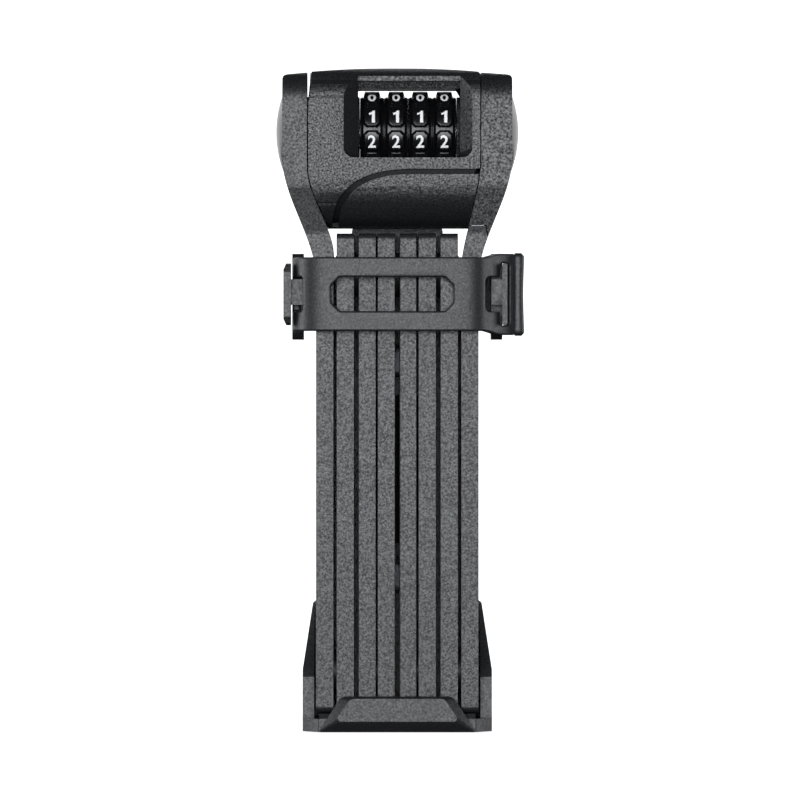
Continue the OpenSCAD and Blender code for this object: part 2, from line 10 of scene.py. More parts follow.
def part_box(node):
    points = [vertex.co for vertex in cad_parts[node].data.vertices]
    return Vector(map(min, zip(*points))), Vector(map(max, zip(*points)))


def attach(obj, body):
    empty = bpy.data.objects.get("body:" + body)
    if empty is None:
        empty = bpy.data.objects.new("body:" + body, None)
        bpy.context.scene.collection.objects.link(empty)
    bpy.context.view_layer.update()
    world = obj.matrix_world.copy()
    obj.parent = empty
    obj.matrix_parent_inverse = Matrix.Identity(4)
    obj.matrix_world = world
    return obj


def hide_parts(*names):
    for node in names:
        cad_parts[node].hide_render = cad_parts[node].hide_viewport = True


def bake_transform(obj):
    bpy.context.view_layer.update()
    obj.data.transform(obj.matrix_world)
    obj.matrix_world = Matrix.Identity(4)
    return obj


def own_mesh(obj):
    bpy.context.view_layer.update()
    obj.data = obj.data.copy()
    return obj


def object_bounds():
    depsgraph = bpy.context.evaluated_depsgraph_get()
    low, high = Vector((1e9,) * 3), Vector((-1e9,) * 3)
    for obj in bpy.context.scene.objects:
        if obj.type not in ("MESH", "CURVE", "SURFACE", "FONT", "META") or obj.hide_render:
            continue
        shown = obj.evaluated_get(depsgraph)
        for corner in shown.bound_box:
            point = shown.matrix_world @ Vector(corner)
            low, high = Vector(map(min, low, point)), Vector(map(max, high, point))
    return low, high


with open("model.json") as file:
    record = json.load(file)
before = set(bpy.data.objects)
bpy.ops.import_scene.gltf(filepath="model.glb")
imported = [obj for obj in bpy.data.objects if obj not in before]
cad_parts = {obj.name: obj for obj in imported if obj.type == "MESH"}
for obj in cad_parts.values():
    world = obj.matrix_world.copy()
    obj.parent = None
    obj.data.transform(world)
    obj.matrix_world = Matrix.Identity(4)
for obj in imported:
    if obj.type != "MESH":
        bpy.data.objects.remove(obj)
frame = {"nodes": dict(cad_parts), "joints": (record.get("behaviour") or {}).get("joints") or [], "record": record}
cad_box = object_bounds()

MM = 0.001
NODES = frame["nodes"]
BODIES = frame["record"]["behaviour"]["bodies"]
BODY_OF = {node: body for body, nodes in BODIES.items() for node in nodes}
PIVOTS = {joint["name"]: Vector(joint["pos_m"]) for joint in frame["joints"] if "pos_m" in joint}


# ---------- camera and light ----------

CAMERA_DISTANCE = 2.5
FRAME_WIDTH = 235.2 * MM
SENSOR = 36.0
CLIP_NEAR = 0.01
CLIP_FAR = 50
VIEW_CENTRE = Vector((0.8 * MM, 0, 20.6 * MM))


def add_camera():
    data = bpy.data.cameras.new("camera")
    camera = bpy.data.objects.new("camera", data)
    bpy.context.scene.collection.objects.link(camera)
    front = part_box("link_4_jacket")[0].y
    data.sensor_width = SENSOR
    data.lens = SENSOR * CAMERA_DISTANCE / FRAME_WIDTH
    data.clip_start = CLIP_NEAR
    data.clip_end = CLIP_FAR
    camera.location = (VIEW_CENTRE.x, front - CAMERA_DISTANCE, VIEW_CENTRE.z)
    camera.rotation_euler = (math.radians(90), 0, 0)
    bpy.context.scene.camera = camera


LIGHT_TINT = (0.94, 0.97, 1.0)
WORLD_STRENGTH = 0.03

# each softbox: its place and size in metres, and its watts
SOFTBOXES = {
    "front_softbox": {"place": (-0.25, -2.9, 0.2), "size": (2.1, 1.5), "watts": 128},
    "left_softbox": {"place": (-2.3, 0.1, 0.15), "size": (1.3, 1.5), "watts": 44},
    "right_softbox": {"place": (2.3, 0.2, 0.15), "size": (1.2, 1.5), "watts": 30},
    "back_softbox": {"place": (0.9, 2.2, 1.3), "size": (1.2, 0.8), "watts": 14},
}


def area_light(name, place, aim, size, watts):
    """A rectangular softbox at place that faces aim."""
    data = bpy.data.lights.new(name, "AREA")
    data.shape = "RECTANGLE"
    data.size, data.size_y = size
    data.energy = watts
    data.color = LIGHT_TINT
    light = bpy.data.objects.new(name, data)
    bpy.context.scene.collection.objects.link(light)
    light.location = place
    light.rotation_euler = (Vector(aim) - Vector(place)).to_track_quat("-Z", "Y").to_euler()
    light.visible_camera = False


def add_lights():
    middle = (cad_box[0] + cad_box[1]) / 2
    for name, box in SOFTBOXES.items():
        area_light(name, box["place"], middle, box["size"], box["watts"])


def add_world():
    world = bpy.data.worlds.new("studio")
    world.use_nodes = True
    background = world.node_tree.nodes["Background"]
    background.inputs["Color"].default_value = (1, 1, 1, 1)
    background.inputs["Strength"].default_value = WORLD_STRENGTH
    bpy.context.scene.world = world


# ---------- materials ----------

PLASTIC_BLOTCH = 14 * MM
METAL_BLOTCH = 6 * MM
PLASTIC_SHINE_RANGE = 0.06
SPECK_SIZE = 1.2


class Nodes:
    """A short way to add and join shader nodes."""

    def __init__(self, name):
        self.material = bpy.data.materials.new(name)
        self.material.use_nodes = True
        self.tree = self.material.node_tree
        self.shader = self.tree.nodes["Principled BSDF"]

    def add(self, kind, inputs=None, **settings):
        node = self.tree.nodes.new(kind)
        for key, value in settings.items():
            setattr(node, key, value)
        for key, value in (inputs or {}).items():
            if isinstance(value, bpy.types.NodeSocket):
                self.tree.links.new(value, node.inputs[key])
            else:
                node.inputs[key].default_value = value
        return node

    def join(self, output, socket):
        """Feeds an output into a socket of the surface shader."""
        self.tree.links.new(output, self.shader.inputs[socket])

    def noise(self, place, size, detail=2.0, roughness=0.5):
        """Noise whose blotches are about size metres across."""
        scale = {"Vector": place, "Scale": 1 / size, "Detail": detail, "Roughness": roughness}
        return self.add("ShaderNodeTexNoise", scale).outputs["Fac"]

    def spread(self, value, low, high, source=(0.3, 0.7)):
        """Stretches a value that lies in the source range to run from low to high."""
        limits = {
            "Value": value, "From Min": source[0], "From Max": source[1], "To Min": low, "To Max": high
        }
        return self.add("ShaderNodeMapRange", limits).outputs["Result"]

    def two_tones(self, factor, first, second):
        """A colour between the two, by the factor."""
        # in a colour mix, inputs 6 and 7 are the two colours and output 2 is the mixed one
        mix = self.add("ShaderNodeMix", data_type="RGBA")
        self.tree.links.new(factor, mix.inputs[0])
        mix.inputs[6].default_value = (*first, 1)
        mix.inputs[7].default_value = (*second, 1)
        return mix.outputs[2]


def shade(colour, factor):
    """The colour made darker or lighter by the factor."""
    return tuple(min(1.0, c * factor) for c in colour)


def moulded_material(name, colour, roughness, grain, depth, specular=0.5, tone=0.12, speckle=0.1):
    """Moulded or coated plastic: a grain in relief whose tops are shinier, and faint blotches."""
    n = Nodes(name)
    place = n.add("ShaderNodeTexCoord").outputs["Object"]
    fine = n.noise(place, grain, detail=3.0, roughness=0.6)
    broad = n.noise(place, PLASTIC_BLOTCH, detail=3.0, roughness=0.55)
    tones = n.two_tones(n.spread(broad, 0, 1), shade(colour, 1 - tone), shade(colour, 1 + tone))
    n.join(tones, "Base Color")
    sheen = n.spread(fine, roughness - PLASTIC_SHINE_RANGE, roughness + PLASTIC_SHINE_RANGE)
    n.join(sheen, "Roughness")
    relief = n.add("ShaderNodeBump", {"Height": fine, "Strength": 1.0, "Distance": depth})
    n.join(relief.outputs["Normal"], "Normal")
    specks = n.noise(place, grain * SPECK_SIZE, detail=1.0, roughness=0.4)
    shine = n.spread(specks, specular * (1 - speckle), specular * (1 + speckle))
    n.join(shine, "Specular IOR Level")
    return n.material


METAL_GRAIN = 0.25 * MM
METAL_GRAIN_DEPTH = 0.01 * MM
METAL_SHINE_RANGE = (-0.07, 0.1)
METAL_TONES = (0.85, 1.1)


def metal_material(name, colour, roughness, stretch=(1, 1, 1), metallic=1.0):
    """Brushed, turned or cast metal; stretch draws the grain out along an axis."""
    n = Nodes(name)
    place = n.add("ShaderNodeTexCoord").outputs["Object"]
    drawn = n.add("ShaderNodeMapping", {"Vector": place, "Scale": stretch}).outputs["Vector"]
    fine = n.noise(drawn, METAL_GRAIN, detail=3.0, roughness=0.6)
    broad = n.noise(place, METAL_BLOTCH)
    tones = n.two_tones(n.spread(broad, 0, 1), *(shade(colour, tone) for tone in METAL_TONES))
    n.join(tones, "Base Color")
    sheen = n.spread(fine, *(roughness + change for change in METAL_SHINE_RANGE))
    n.join(sheen, "Roughness")
    relief = n.add("ShaderNodeBump", {"Height": fine, "Strength": 1.0, "Distance": METAL_GRAIN_DEPTH})
    n.join(relief.outputs["Normal"], "Normal")
    n.shader.inputs["Metallic"].default_value = metallic
    return n.material


# each plastic: the grain's size and the depth of its relief, and how strong its shine and specks are
PLASTICS = {
    "head_plastic": {
        "colour": (0.012, 0.0125, 0.014), "roughness": 0.45, "grain": 0.5 * MM, "depth": 0.1 * MM,
        "speckle": 0.75
    },
    "link_coating": {
        "colour": (0.012, 0.0125, 0.014), "roughness": 0.47, "grain": 0.5 * MM, "depth": 0.06 * MM,
        "speckle": 0.5
    },
    "bracket_plastic": {
        "colour": (0.011, 0.0115, 0.0125), "roughness": 0.48, "grain": 0.6 * MM, "depth": 0.05 * MM,
        "speckle": 0.3
    },
    "wheel_plastic": {
        "colour": (0.004, 0.004, 0.005), "roughness": 0.27, "grain": 0.5 * MM, "depth": 0.004 * MM,
        "specular": 0.3
    },
    "numeral_paint": {
        "colour": (0.9, 0.9, 0.9), "roughness": 0.5, "grain": 0.3 * MM, "depth": 0.01 * MM,
        "tone": 0.03
    },
    "strap_rubber": {
        "colour": (0.014, 0.015, 0.017), "roughness": 0.48, "grain": 0.5 * MM, "depth": 0.03 * MM,
        "specular": 0.46, "speckle": 0.25
    },
    "pad_rubber": {
        "colour": (0.012, 0.012, 0.013), "roughness": 0.85, "grain": 0.5 * MM, "depth": 0.08 * MM,
        "specular": 0.3
    },
    "core_metal": {
        "colour": (0.012, 0.012, 0.013), "roughness": 0.3, "grain": 0.4 * MM, "depth": 0.5 * MM,
        "specular": 0.5, "speckle": 1.0
    },
    "dome_gloss": {
        "colour": (0.03, 0.031, 0.034), "roughness": 0.22, "grain": 0.5 * MM, "depth": 0.01 * MM,
        "specular": 0.8
    },
    # painted shade: a darker, duller plastic for the groove's floor and end, where shade falls
    "painted_groove_shade": {
        "colour": (0.008, 0.008, 0.009), "roughness": 0.6, "grain": 0.5 * MM, "depth": 0.05 * MM,
        "specular": 0.18, "speckle": 0.3
    },
    "washer_plastic": {
        "colour": (0.012, 0.012, 0.013), "roughness": 0.5, "grain": 0.3 * MM, "depth": 0.01 * MM
    },
}
METALS = {
    "hardened_steel": {"colour": (0.45, 0.45, 0.47), "roughness": 0.35, "stretch": (1, 1, 0.05)},
    "spring_steel": {"colour": (0.6, 0.6, 0.62), "roughness": 0.25, "stretch": (0.05, 1, 1)},
    "screw_steel": {"colour": (0.08, 0.08, 0.09), "roughness": 0.4, "metallic": 0.8},
    "brass": {"colour": (0.7, 0.5, 0.22), "roughness": 0.3, "stretch": (0.05, 1, 1)},
}
MATERIALS = {name: moulded_material(name, **look) for name, look in PLASTICS.items()}
MATERIALS.update({name: metal_material(name, **look) for name, look in METALS.items()})


def dress_frame():
    """Gives every CAD node the material of its slot."""
    for part in frame["record"]["subparts"]:
        data = NODES[part["node"]].data
        data.materials.clear()
        data.materials.append(MATERIALS[part["material_slot"]])


# ---------- making pieces ----------

SAME_POINT = 0.002 * MM
FLAT_DEGREES = 0.6


def place_piece(obj, body, slot, *nodes):
    """Puts a finished piece on its body, in its material, in place of the CAD nodes."""
    if not obj.data.materials:
        obj.data.materials.append(MATERIALS[slot])
    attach(obj, body)
    if nodes:
        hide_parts(*nodes)


def mesh_object(name, bm, smooth_angle=35):
    """Turns a bmesh into an object that shades smoothly, but for edges sharper than the angle."""
    bmesh.ops.recalc_face_normals(bm, faces=bm.faces)
    data = bpy.data.meshes.new(name)
    bm.to_mesh(data)
    bm.free()
    for face in data.polygons:
        face.use_smooth = True
    data.set_sharp_from_angle(angle=math.radians(smooth_angle))
    obj = bpy.data.objects.new(name, data)
    bpy.context.scene.collection.objects.link(obj)
    return obj


def clean_copy(node):
    """A CAD node's mesh with its triangles joined back into whole faces."""
    bm = bmesh.new()
    bm.from_mesh(NODES[node].data)
    bmesh.ops.remove_doubles(bm, verts=bm.verts, dist=SAME_POINT)
    bmesh.ops.dissolve_limit(bm, angle_limit=math.radians(FLAT_DEGREES), verts=bm.verts, edges=bm.edges)
    return bm


def curve_mesh(data):
    """The mesh that a curve or a text draws, as a bmesh."""
    holder = bpy.data.objects.new("holder", data)
    bpy.context.scene.collection.objects.link(holder)
    bpy.context.view_layer.update()
    drawn = holder.evaluated_get(bpy.context.evaluated_depsgraph_get())
    mesh = bpy.data.meshes.new_from_object(drawn)
    bm = bmesh.new()
    bm.from_mesh(mesh)
    bpy.data.objects.remove(holder)
    bpy.data.meshes.remove(mesh)
    return bm


LINE_HALF_WIDTH = 0.36 * MM
LINE_FLAT_HALF = 0.1 * MM
LINE_DEPTH = 0.14 * MM
LINE_MARGIN = 1.1
FRONT_FACE_DEPTH = 6 * MM


def mould_line(bm, level, low_x, high_x):
    """Presses a shallow line across the front face where two parts of the mould met."""
    front = min(v.co.y for v in bm.verts)
    half = LINE_HALF_WIDTH
    flat = LINE_FLAT_HALF
    for z in (level - half, level - flat, level + flat, level + half):
        facing = [f for f in bm.faces if f.normal.y < -0.3]
        faces = [f for f in facing if low_x < f.calc_center_median().x < high_x]
        near = dict.fromkeys(faces)
        near.update(dict.fromkeys(e for f in faces for e in f.edges))
        near.update(dict.fromkeys(v for f in faces for v in f.verts))
        bmesh.ops.bisect_plane(bm, geom=list(near), plane_co=(0, 0, z), plane_no=(0, 0, 1), dist=1e-7)
    for vert in bm.verts:
        inside = low_x < vert.co.x < high_x and abs(vert.co.z - level) < flat * LINE_MARGIN
        if inside and vert.co.y < front + FRONT_FACE_DEPTH:
            vert.co.y += LINE_DEPTH


HEAD_BOTTOM_RADIUS = 14 * MM
GROOVE_DEPTH = 1.2 * MM
GROOVE_END = 11 * MM
FLOOR_TOLERANCE = 0.2 * MM
END_TOLERANCE = 0.3 * MM


def mark_groove(bm):
    """Paints shade on the floor and the end of the groove round the lower panel by giving them the second
    material, a darker plastic.
    """
    low_y = min(v.co.y for v in bm.verts)
    low_z = min(v.co.z for v in bm.verts)
    centre_y = low_y + HEAD_BOTTOM_RADIUS
    centre_z = low_z + HEAD_BOTTOM_RADIUS
    for face in bm.faces:
        place = face.calc_center_median()
        reach = math.hypot(place.y - centre_y, min(0, place.z - centre_z))
        on_floor = abs(reach - (HEAD_BOTTOM_RADIUS - GROOVE_DEPTH)) < FLOOR_TOLERANCE
        at_end = abs(place.y - (low_y + GROOVE_END)) < END_TOLERANCE and face.normal.y < -0.9
        if at_end or (on_floor and face.normal.y < -0.05 and place.y < centre_y):
            # painted shade on the groove's floor and end wall
            face.material_index = 1


SIDE_FROM = 17 * MM
MOULD_SEGMENTS = 3
MOULD_DEGREES = 32


def moulded(node, slot, edge, lines=(), groove=False, widen=0.0):
    """A copy of a CAD node with the rounded edges that a mould leaves.

    lines are mould lines to press in, groove paints shade into the groove with a darker material, widen moves the
    sides outwards.
    """
    bm = clean_copy(node)
    for line in lines:
        mould_line(bm, *line)
    if groove:
        mark_groove(bm)
    for vert in bm.verts:
        if abs(vert.co.x) > SIDE_FROM:
            vert.co.x += math.copysign(widen, vert.co.x)
    obj = mesh_object(node + "_moulded", bm, smooth_angle=MOULD_DEGREES)
    if groove:
        # the second material is the painted shade for the groove
        obj.data.materials.append(MATERIALS[slot])
        obj.data.materials.append(MATERIALS["painted_groove_shade"])
    bevel = obj.modifiers.new("rounded edges", "BEVEL")
    bevel.width = edge
    bevel.segments = MOULD_SEGMENTS
    bevel.limit_method = "ANGLE"
    bevel.angle_limit = math.radians(MOULD_DEGREES)
    bevel.use_clamp_overlap = True
    bevel.harden_normals = True
    place_piece(obj, BODY_OF[node], slot, node)


# ---------- strap ----------

def spline_points(knots, steps):
    """Points on a smooth curve through the knots."""
    ends = [knots[0] * 2 - knots[1], *knots, knots[-1] * 2 - knots[-2]]
    points = []
    for a, b, c, d in zip(ends, ends[1:], ends[2:], ends[3:]):
        for i in range(steps):
            t = i / steps
            square_term = (2 * a - 5 * b + 4 * c - d) * t**2
            cube_term = (3 * b - a - 3 * c + d) * t**3
            points.append(0.5 * (2 * b + (c - a) * t + square_term + cube_term))
    return points + [knots[-1]]


class PlanPath:
    """A line seen from above, measured along its length."""

    def __init__(self, points):
        self.points = points
        self.lengths = [0.0]
        for a, b in zip(points, points[1:]):
            self.lengths.append(self.lengths[-1] + (b - a).length)
        self.total = self.lengths[-1]

    def at(self, s):
        """Place and outward normal at a length along the line."""
        s = min(max(s, 0), self.total)
        i = 1
        while i < len(self.points) - 1 and self.lengths[i] < s:
            i += 1
        a, b = self.points[i - 1], self.points[i]
        t = (s - self.lengths[i - 1]) / (self.lengths[i] - self.lengths[i - 1])
        before = self.points[max(i - 2, 0)]
        after = self.points[min(i + 1, len(self.points) - 1)]
        along = ((b - before).normalized() * (1 - t) + (after - a).normalized() * t).normalized()
        return a.lerp(b, t), Vector((along.y, -along.x))

    def length_at_x(self, x):
        """Length along the line where it first reaches x."""
        for i in range(1, len(self.points)):
            if self.points[i].x >= x:
                a, b = self.points[i - 1].x, self.points[i].x
                t = (x - a) / (b - a) if b != a else 0
                return self.lengths[i - 1] + t * (self.lengths[i] - self.lengths[i - 1])
        return self.total


def rounded_outline(corners, radii, steps=5):
    """A closed outline whose corners are rounded by arcs."""
    outline = []
    count = len(corners)
    for i in range(count):
        b = Vector(corners[i])
        u = (Vector(corners[i - 1]) - b).normalized()
        v = (Vector(corners[(i + 1) % count]) - b).normalized()
        radius = radii[i]
        if radius <= 0:
            outline.append(b)
            continue
        half = u.angle(v) / 2
        centre = b + (u + v).normalized() * radius / math.sin(half)
        start = b + u * radius / math.tan(half) - centre
        sweep = start.angle_signed(b + v * radius / math.tan(half) - centre)
        for k in range(steps + 1):
            turn = Matrix.Rotation(-sweep * k / steps, 2)
            outline.append(centre + turn @ start)
    return outline


def filled_panel(outlines, thickness, edge):
    """A flat solid in x and y, with holes and rounded edges, between z 0 and -thickness."""
    data = bpy.data.curves.new("outline", "CURVE")
    data.dimensions = "2D"
    data.fill_mode = "BOTH"
    data.extrude = thickness / 2 - edge
    data.bevel_depth = edge
    data.bevel_resolution = 2
    data.offset = -edge
    for outline in outlines:
        spline = data.splines.new("POLY")
        spline.points.add(len(outline) - 1)
        for point, place in zip(spline.points, outline):
            point.co = (place.x, place.y, 0, 1)
        spline.use_cyclic_u = True
    bm = curve_mesh(data)
    bmesh.ops.remove_doubles(bm, verts=bm.verts, dist=1e-6)
    bmesh.ops.translate(bm, verts=bm.verts, vec=(0, 0, -thickness / 2))
    return bm


def slice_along(bm, start, end, step):
    """Cuts a mesh across x so that it can bend."""
    cuts = max(1, int((end - start) / step))
    for i in range(1, cuts):
        where = Vector((start + (end - start) * i / cuts, 0, 0))
        everything = bm.verts[:] + bm.edges[:] + bm.faces[:]
        bmesh.ops.bisect_plane(bm, geom=everything, plane_co=where, plane_no=(1, 0, 0), dist=1e-7)


STRAP_THICKNESS = 2.3 * MM
STRAP_EDGE = 0.55 * MM
STRAP_HALF_WIDTH = 10.85 * MM
FLARE_HALF_WIDTH = 12.0 * MM
STRAP_SLICE = 0.9 * MM
KNOT_STEPS = 10

# the strap's outer line from above, in mm right of and behind the low corner of its box
STRAP_KNOTS = [
    (0, 13.0), (0.6, 8.2), (2.3, 3.8), (6.3, 0.9), (12.9, 0), (25, 0), (37, 0), (48.9, 0.05),
    (54.5, 0.85), (57.9, 3.6), (60.3, 6.8), (63.5, 9.6), (65.9, 11.0)
]

# where the parts of the strap's outline and openings lie across the front, in mm
FLARE_X = (26, 30.5)
WINDOW_X = (-19.45, 16.5)
LEFT_SLOT_X = -27.9
NECK_X = (26.1, 30.5, 33.1)

LEFT_SLOT_MARGIN = 1.8 * MM
WINDOW_CUT = 2.5 * MM
OPENING_HALF_HEIGHT = 5.0 * MM
T_HALF_HEIGHT = 9.15 * MM


def strap_path():
    """The strap's outer line from the left hook, round the front, to the grip."""
    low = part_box("strap")[0]
    points = [Vector((low.x + along * MM, low.y + back * MM)) for along, back in STRAP_KNOTS]
    return PlanPath(spline_points(points, KNOT_STEPS))


def add_strap():
    """The band: a flat panel with its openings, bent round the strap's line."""
    low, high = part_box("strap")
    middle = (low.z + high.z) / 2
    path = strap_path()
    end = path.total

    def lengths_at(*places):
        """Lengths along the path where it reaches places across the front."""
        return [path.length_at_x(x * MM) for x in places]

    half = STRAP_HALF_WIDTH
    flare = FLARE_HALF_WIDTH
    narrow, wide = lengths_at(*FLARE_X)
    outline = rounded_outline(
        [
            (0, -half), (narrow, -half), (wide, -flare), (end, -flare),
            (end, flare), (wide, flare), (narrow, half), (0, half)
        ],
        [1 * MM, 6 * MM, 6 * MM, 1 * MM, 1 * MM, 6 * MM, 6 * MM, 1 * MM]
    )
    cut = WINDOW_CUT
    rise = OPENING_HALF_HEIGHT
    left, right = lengths_at(*WINDOW_X)
    window = rounded_outline(
        [
            (left, cut - rise), (left + cut, -rise), (right - cut, -rise), (right, cut - rise),
            (right, rise - cut), (right - cut, rise), (left + cut, rise), (left, rise - cut)
        ],
        [0.9 * MM] * 8, 3
    )
    slot_start = LEFT_SLOT_MARGIN
    slot_end = lengths_at(LEFT_SLOT_X)[0]
    left_slot = rounded_outline(
        [(slot_start, -rise), (slot_end, -rise), (slot_end, rise), (slot_start, rise)], [0.8 * MM] * 4
    )
    neck, bar, tip = lengths_at(*NECK_X)
    reach = T_HALF_HEIGHT
    t_slot = rounded_outline(
        [
            (neck, -rise), (bar, -rise), (bar, -reach), (tip, -reach),
            (tip, reach), (bar, reach), (bar, rise), (neck, rise)
        ],
        [1.5 * MM, 0.5 * MM, 0.6 * MM, 1.2 * MM, 1.2 * MM, 0.6 * MM, 0.5 * MM, 1.5 * MM]
    )
    bm = filled_panel([outline, window, left_slot, t_slot], STRAP_THICKNESS, STRAP_EDGE)
    slice_along(bm, 0, end, STRAP_SLICE)
    for vert in bm.verts:
        place, normal = path.at(vert.co.x)
        flat = place + normal * vert.co.z
        vert.co = (flat.x, flat.y, middle + vert.co.y)
    band = mesh_object("strap_band", bm, 50)
    band.data.materials.append(MATERIALS["strap_rubber"])
    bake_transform(band)
    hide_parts("strap")
    return path


GRIP_HALF_SIZE = (1.75 * MM, 2.1 * MM, 12.2 * MM)
GRIP_BEHIND_PATH = 0.8 * MM
GRIP_RINGS = 28
GRIP_SIDES = 28
GRIP_SQUARENESS = 0.75
GRIP_WAIST = 0.1
GRIP_WAIST_SHIFT = 0.9 * MM
GRIP_END_FROM = 0.93
GRIP_END_SIZE = 0.55


def squared(value):
    """A sine or cosine pushed outwards, so that a circle becomes a rounded square."""
    return math.copysign(abs(value) ** GRIP_SQUARENESS, value)


def add_grip(path):
    """The thick rounded bar at the strap's free end, a little waisted."""
    low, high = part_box("strap")
    middle = (low.z + high.z) / 2
    half_x, half_y, half_height = GRIP_HALF_SIZE
    centre = Vector((high.x - half_x, path.at(path.total)[0].y + GRIP_BEHIND_PATH))
    sides = GRIP_SIDES
    bm = bmesh.new()
    loops = []
    for i in range(GRIP_RINGS + 1):
        t = -1 + 2 * i / GRIP_RINGS
        end_round = max(0.0, (abs(t) - GRIP_END_FROM) / (1 - GRIP_END_FROM))
        shrink = math.sqrt(max(0.0, 1 - end_round**2)) * (1 - GRIP_END_SIZE) + GRIP_END_SIZE
        waist = 1 - GRIP_WAIST * math.cos(t * math.pi / 2) ** 2
        shift = (1 - waist) * GRIP_WAIST_SHIFT
        loop = []
        for k in range(sides):
            angle = 2 * math.pi * k / sides
            x = squared(math.cos(angle)) * half_x * shrink * waist
            y = squared(math.sin(angle)) * half_y * shrink
            place = (centre.x + x - shift, centre.y + y, middle + t * half_height)
            loop.append(bm.verts.new(place))
        loops.append(loop)
    for a, b in zip(loops, loops[1:]):
        for k in range(sides):
            n = (k + 1) % sides
            bm.faces.new((a[k], a[n], b[n], b[k]))
    bm.faces.new(reversed(loops[0]))
    bm.faces.new(loops[-1])
    place_piece(mesh_object("strap_grip", bm, 60), "strap", "strap_rubber", "strap")


# ---------- domes ----------

DOME_RADIUS = 13.4 * MM
DOME_RISE = 2.85 * MM
DOME_RINGS = 14
DOME_SIDES = 96


def add_dome(node, side):
    """A shallow round cover that grows out of the arm's cheek without a step."""
    low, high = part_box(node)
    apex = high.x if side > 0 else low.x
    axis = wheel_axis()
    sphere = (DOME_RADIUS**2 + DOME_RISE**2) / (2 * DOME_RISE)
    spread = math.asin(DOME_RADIUS / sphere)
    sides = DOME_SIDES
    turns = [2 * math.pi * k / sides for k in range(sides)]
    bm = bmesh.new()
    loops = []
    for i in range(1, DOME_RINGS + 1):
        angle = spread * i / DOME_RINGS
        x = apex - side * sphere * (1 - math.cos(angle))
        r = sphere * math.sin(angle)
        places = [(x, axis.y + r * math.cos(t), axis.z + r * math.sin(t)) for t in turns]
        loops.append([bm.verts.new(place) for place in places])
    crown = bm.verts.new((apex, axis.y, axis.z))
    for k in range(sides):
        bm.faces.new((crown, loops[0][k], loops[0][(k + 1) % sides]))
    for a, b in zip(loops, loops[1:]):
        for k in range(sides):
            n = (k + 1) % sides
            bm.faces.new((a[k], a[n], b[n], b[k]))
    bm.faces.new(loops[-1])
    dome = mesh_object(node + "_cover", bm, 50)
    dome.data.materials.append(MATERIALS["dome_gloss"])
    place_piece(dome, BODY_OF[node], "head_plastic", node)


# ---------- spring ----------

def add_spring():
    """The bolt's spring, which the spindle's flange presses together."""
    bm = bmesh.new()
    bm.from_mesh(NODES["bolt_spring"].data)
    spring = mesh_object("bolt_spring_coil", bm, 60)
    place_piece(spring, "lock", "spring_steel", "bolt_spring")
    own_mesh(spring)


# ---------- frame screws ----------

SCREW_SEAT = -2.6 * MM
SCREW_SIDES = 48
FRAME_SCREWS = {"low": -32 * MM, "high": 32 * MM}
SOCKET_RADIUS = 1.75

# the screw head's radius and its rise above the seat, in mm, from the socket's floor outwards
SCREW_PROFILE = [
    (0, 1.1), (SOCKET_RADIUS, 1.1), (SOCKET_RADIUS, 2.3), (3.6, 2.5), (4.3, 2.1), (4.5, 1.4),
    (4.5, 0), (0, 0)
]


def hexagon_reach(angle):
    """How far a hexagon reaches at an angle, as a part of its corners' radius."""
    step = math.pi / 6
    return math.cos(step) / math.cos((angle % (2 * step)) - step)


def add_frame_screws():
    """The low socket heads of the two screws that would hold the bracket on a bicycle."""
    sides = SCREW_SIDES
    for side, place in FRAME_SCREWS.items():
        bm = bmesh.new()
        rings = []
        for radius, rise in SCREW_PROFILE:
            y = SCREW_SEAT - rise * MM
            if radius == 0:
                rings.append([bm.verts.new((0, y, place))])
                continue
            ring = []
            for k in range(sides):
                angle = 2 * math.pi * k / sides
                reach = hexagon_reach(angle) if radius == SOCKET_RADIUS else 1.0
                r = radius * reach * MM
                ring.append(bm.verts.new((r * math.cos(angle), y, place + r * math.sin(angle))))
            rings.append(ring)
        for a, b in zip(rings, rings[1:]):
            for k in range(sides):
                n = (k + 1) % sides
                corners = [a[k % len(a)], a[n % len(a)], b[n % len(b)], b[k % len(b)]]
                bm.faces.new(list(dict.fromkeys(corners)))
        place_piece(mesh_object("frame_screw_" + side, bm, 40), "bracket", "screw_steel")


# ---------- number wheels ----------

DIGITS = 10
DIGIT_STEP = 36.0
FIRST_DIGIT_ANGLE = 57.5

# each digit's pad: half its size across and around the wheel, where its corners are cut, its slope
PAD_HALF = (2.5 * MM, 3.15 * MM)
PAD_CUT = 4.55 * MM
PAD_EDGE = 0.4 * MM
PAD_MARGIN = 0.1 * MM

# the wheel's other radii: the floor between the pads and the ribbed shoulders beside them
FLOOR_RADIUS = 10.95 * MM
SHOULDER_RADIUS = 10.35 * MM
FLOOR_DIP = 0.25 * MM
RIDGE = 0.16 * MM
RIDGE_PITCH = 0.62 * MM
RIM_WIDTH = 0.22 * MM
RIM_DROP = 0.5 * MM
WHEEL_BORE = 8.02 * MM
WHEEL_STEPS_AROUND = DIGITS * 30
WHEEL_STEPS_ACROSS = 46
WHEEL_SPREAD = 0.065 * MM

NUMERAL_HEIGHT = 3.8 * MM
NUMERAL_LIFT = 0.04 * MM
NUMERAL_DEPTH = 0.12 * MM
NUMERAL_SLICES = 12
FONT_BOLDNESS = 0.022
FONT_WIDTH = 0.95

# the outline of the 1, as parts of its height
FLAGGED_ONE = [
    (0.22, 0), (0.46, 0), (0.46, 1), (0.28, 1), (0.24, 0.91), (0.15, 0.84), (0, 0.8), (0, 0.63),
    (0.12, 0.66), (0.22, 0.72)
]


def wheel_axis():
    """A point on the axis that the number wheels turn on."""
    return PIVOTS["dial_1_turn"]


